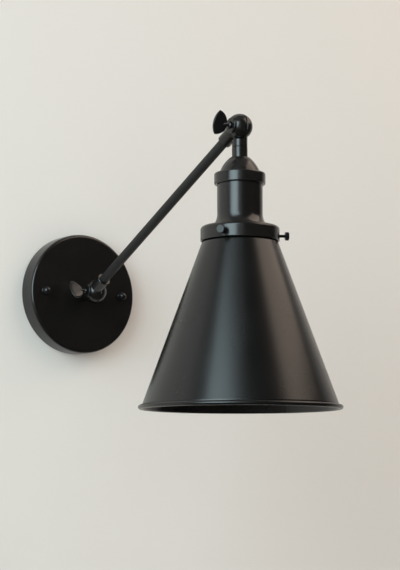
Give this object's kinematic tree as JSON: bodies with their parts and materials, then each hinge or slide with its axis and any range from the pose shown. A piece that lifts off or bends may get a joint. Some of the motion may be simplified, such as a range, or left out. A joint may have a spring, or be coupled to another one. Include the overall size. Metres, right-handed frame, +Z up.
{
  "type": "adjustable wall lamp",
  "caption": "Wall lamp with a round plate, one straight arm on split-ball knuckles with leaf thumb keys, and a conical metal shade on a screw-type shade holder.",
  "frame": {"origin": "centre of the wall plate's back face, on the wall, midway between the box screws", "axes": "+Z up, +X to the right facing the wall, +Y into the wall; the lamp stands out along -Y"},
  "size_m": [0.1778, 0.3695, 0.2614],
  "materials": {
    "satin_black_steel": "satin black powder coat",
    "satin_black_shade": "satin black enamel, inside and out",
    "black_fittings": "black plated and lacquered screws and nuts",
    "zinc_plated_steel": "bright zinc plate",
    "brass": "pressed brass",
    "black_phenolic": "moulded phenolic",
    "nylon": "moulded black nylon",
    "green_screw": "green dyed earth screw"
  },
  "bodies": {
    "base": {"wall_plate": "satin_black_steel", "mounting_strap": "zinc_plated_steel", "strap_studs": "zinc_plated_steel", "stud_lock_nuts": "zinc_plated_steel", "cap_nuts": "black_fittings", "ground_screw": "green_screw", "base_nipple": "zinc_plated_steel", "base_lock_washer": "zinc_plated_steel", "base_lock_nut": "zinc_plated_steel", "base_knuckle_wall_half": "satin_black_steel", "base_friction_washer": "nylon"},
    "arm": {"base_knuckle_arm_half": "satin_black_steel", "arm_tube": "satin_black_steel", "top_knuckle_arm_half": "satin_black_steel"},
    "lamp_head": {"top_knuckle_lamp_half": "satin_black_steel", "top_friction_washer": "nylon", "neck_coupling": "satin_black_steel", "neck_nipple": "zinc_plated_steel", "neck_lock_nut": "zinc_plated_steel", "socket_cap": "satin_black_steel", "socket_ring": "satin_black_steel", "socket_sleeve": "satin_black_steel", "socket_insulator": "black_phenolic", "screw_shell": "brass", "centre_contact": "brass", "terminal_screws": "brass", "shade_holder": "satin_black_steel", "holder_ring": "satin_black_steel", "shade": "satin_black_shade"},
    "base_key": {"base_thumb_key": "black_fittings"},
    "top_key": {"top_thumb_key": "black_fittings"},
    "holder_screw_1": {"shade_screw_1": "black_fittings"},
    "holder_screw_2": {"shade_screw_2": "black_fittings"},
    "holder_screw_3": {"shade_screw_3": "black_fittings"}
  },
  "joints": [
    {"name": "base_hinge", "type": "hinge", "parent": "base", "child": "arm", "pos_m": [0, -0.0407, 0], "axis": [1, 0, 0], "range_deg": [-60, 60]},
    {"name": "head_hinge", "type": "hinge", "parent": "arm", "child": "lamp_head", "pos_m": [0, -0.28063, 0.12384], "axis": [1, 0, 0], "range_deg": [-110, 3]},
    {"name": "base_key_turn", "type": "hinge", "parent": "base", "child": "base_key", "pos_m": [0, -0.0407, 0], "axis": [-1, 0, 0], "range_deg": [0, 270]},
    {"name": "top_key_turn", "type": "hinge", "parent": "lamp_head", "child": "top_key", "pos_m": [0, -0.28063, 0.12384], "axis": [-1, 0, 0], "range_deg": [0, 270]},
    {"name": "shade_screw_1_slide", "type": "slide", "parent": "lamp_head", "child": "holder_screw_1", "axis": [0, 1, 0], "range_m": [0, 0.002]},
    {"name": "shade_screw_2_slide", "type": "slide", "parent": "lamp_head", "child": "holder_screw_2", "axis": [-0.866, -0.5, 0], "range_m": [0, 0.002]},
    {"name": "shade_screw_3_slide", "type": "slide", "parent": "lamp_head", "child": "holder_screw_3", "axis": [0.866, -0.5, 0], "range_m": [0, 0.002]}
  ]
}
